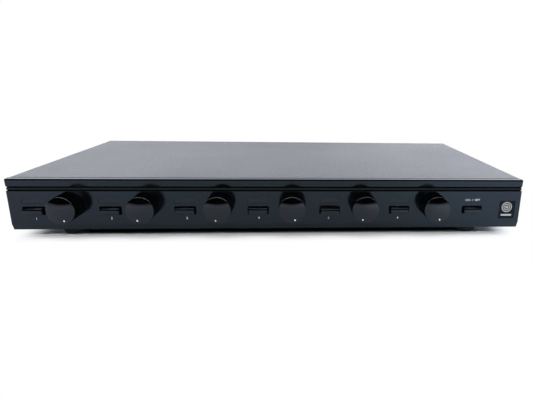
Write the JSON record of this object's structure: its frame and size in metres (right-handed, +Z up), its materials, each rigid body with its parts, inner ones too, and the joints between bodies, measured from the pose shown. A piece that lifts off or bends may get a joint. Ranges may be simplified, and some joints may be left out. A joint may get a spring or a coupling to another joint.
{
  "type": "speaker selector switch",
  "caption": "Low rack-width speaker selector: volume knobs and push buttons in a row on a dark grooved fascia, folded steel cover, rubber feet, wire terminals behind.",
  "frame": {"origin": "on the floor plane, under the middle of the whole outline", "axes": "+X to the right seen from the front, +Y from the fascia to the rear panel, +Z up"},
  "size_m": [0.4356, 0.241, 0.0529],
  "materials": {
    "fascia_plastic": "satin near-black moulding",
    "label_film": "satin film",
    "badge_metal": "brushed, dark lacquer",
    "cover_paint": "fine textured powder coat",
    "tray_paint": "satin dark paint",
    "board_laminate": "solder mask",
    "plated_brass": "nickel plated",
    "zinc_screw": "zinc plated",
    "black_screw": "black oxide",
    "foot_rubber": "matt",
    "switch_housing": "satin",
    "shaft_aluminium": "turned",
    "knob_plastic": "gloss",
    "button_plastic": "satin",
    "plunger_plastic": "natural",
    "core_steel": "varnished laminations",
    "winding_copper": "enamelled copper wire",
    "resistor_ceramic": "cement",
    "terminal_plastic": "satin",
    "ribbon_plastic": "satin"
  },
  "bodies": {
    "cabinet": {"fascia": "fascia_plastic", "label_inserts": "label_film", "badge_plate": "badge_metal", "top_cover": "cover_paint", "chassis_tray": "tray_paint", "front_subpanel": "tray_paint", "front_circuit_board": "board_laminate", "main_circuit_board": "board_laminate", "board_standoffs": "plated_brass", "board_screws": "zinc_screw", "fascia_screws": "zinc_screw", "cover_screws": "black_screw", "foot_front_left": "foot_rubber", "foot_front_right": "foot_rubber", "foot_rear_left": "foot_rubber", "foot_rear_right": "foot_rubber", "foot_screws": "zinc_screw", "rotary_switch_1": "switch_housing", "rotary_switch_2": "switch_housing", "rotary_switch_3": "switch_housing", "rotary_switch_4": "switch_housing", "rotary_switch_5": "switch_housing", "rotary_switch_6": "switch_housing", "switch_nuts": "plated_brass", "switch_washers": "plated_brass", "push_switches": "switch_housing", "autoformer_cores": "core_steel", "autoformer_windings": "winding_copper", "protection_resistors": "resistor_ceramic", "input_terminals": "terminal_plastic", "speaker_terminals": "terminal_plastic", "terminal_screws": "zinc_screw", "ribbon_cables": "ribbon_plastic"},
    "volume_control_1": {"knob_1": "knob_plastic", "shaft_1": "shaft_aluminium"},
    "volume_control_2": {"knob_2": "knob_plastic", "shaft_2": "shaft_aluminium"},
    "volume_control_3": {"knob_3": "knob_plastic", "shaft_3": "shaft_aluminium"},
    "volume_control_4": {"knob_4": "knob_plastic", "shaft_4": "shaft_aluminium"},
    "volume_control_5": {"knob_5": "knob_plastic", "shaft_5": "shaft_aluminium"},
    "volume_control_6": {"knob_6": "knob_plastic", "shaft_6": "shaft_aluminium"},
    "push_button_1": {"button_1": "button_plastic", "plunger_1": "plunger_plastic"},
    "push_button_2": {"button_2": "button_plastic", "plunger_2": "plunger_plastic"},
    "push_button_3": {"button_3": "button_plastic", "plunger_3": "plunger_plastic"},
    "push_button_4": {"button_4": "button_plastic", "plunger_4": "plunger_plastic"},
    "push_button_5": {"button_5": "button_plastic", "plunger_5": "plunger_plastic"},
    "push_button_6": {"button_6": "button_plastic", "plunger_6": "plunger_plastic"},
    "push_button_7": {"button_7": "button_plastic", "plunger_7": "plunger_plastic"}
  },
  "joints": [
    {"name": "volume_1_turn", "type": "hinge", "parent": "cabinet", "child": "volume_control_1", "pos_m": [-0.1678, -0.1025, 0.0306], "axis": [0, 1, 0], "range_deg": [-330, 0]},
    {"name": "volume_2_turn", "type": "hinge", "parent": "cabinet", "child": "volume_control_2", "pos_m": [-0.107, -0.1025, 0.0306], "axis": [0, 1, 0], "range_deg": [0, 330]},
    {"name": "volume_3_turn", "type": "hinge", "parent": "cabinet", "child": "volume_control_3", "pos_m": [-0.0462, -0.1025, 0.0306], "axis": [0, 1, 0], "range_deg": [0, 330]},
    {"name": "volume_4_turn", "type": "hinge", "parent": "cabinet", "child": "volume_control_4", "pos_m": [0.0146, -0.1025, 0.0306], "axis": [0, 1, 0], "range_deg": [-330, 0]},
    {"name": "volume_5_turn", "type": "hinge", "parent": "cabinet", "child": "volume_control_5", "pos_m": [0.0754, -0.1025, 0.0306], "axis": [0, 1, 0], "range_deg": [0, 330]},
    {"name": "volume_6_turn", "type": "hinge", "parent": "cabinet", "child": "volume_control_6", "pos_m": [0.1362, -0.1025, 0.0306], "axis": [0, 1, 0], "range_deg": [-330, 0]},
    {"name": "button_1_press", "type": "slide", "parent": "cabinet", "child": "push_button_1", "axis": [0, 1, 0], "range_m": [-0.0028, 0.0006]},
    {"name": "button_2_press", "type": "slide", "parent": "cabinet", "child": "push_button_2", "axis": [0, 1, 0], "range_m": [-0.0028, 0.0006]},
    {"name": "button_3_press", "type": "slide", "parent": "cabinet", "child": "push_button_3", "axis": [0, 1, 0], "range_m": [-0.0028, 0.0006]},
    {"name": "button_4_press", "type": "slide", "parent": "cabinet", "child": "push_button_4", "axis": [0, 1, 0], "range_m": [-0.0028, 0.0006]},
    {"name": "button_5_press", "type": "slide", "parent": "cabinet", "child": "push_button_5", "axis": [0, 1, 0], "range_m": [0, 0.0034]},
    {"name": "button_6_press", "type": "slide", "parent": "cabinet", "child": "push_button_6", "axis": [0, 1, 0], "range_m": [-0.0028, 0.0006]},
    {"name": "button_7_press", "type": "slide", "parent": "cabinet", "child": "push_button_7", "axis": [0, 1, 0], "range_m": [-0.0028, 0.0006]}
  ]
}
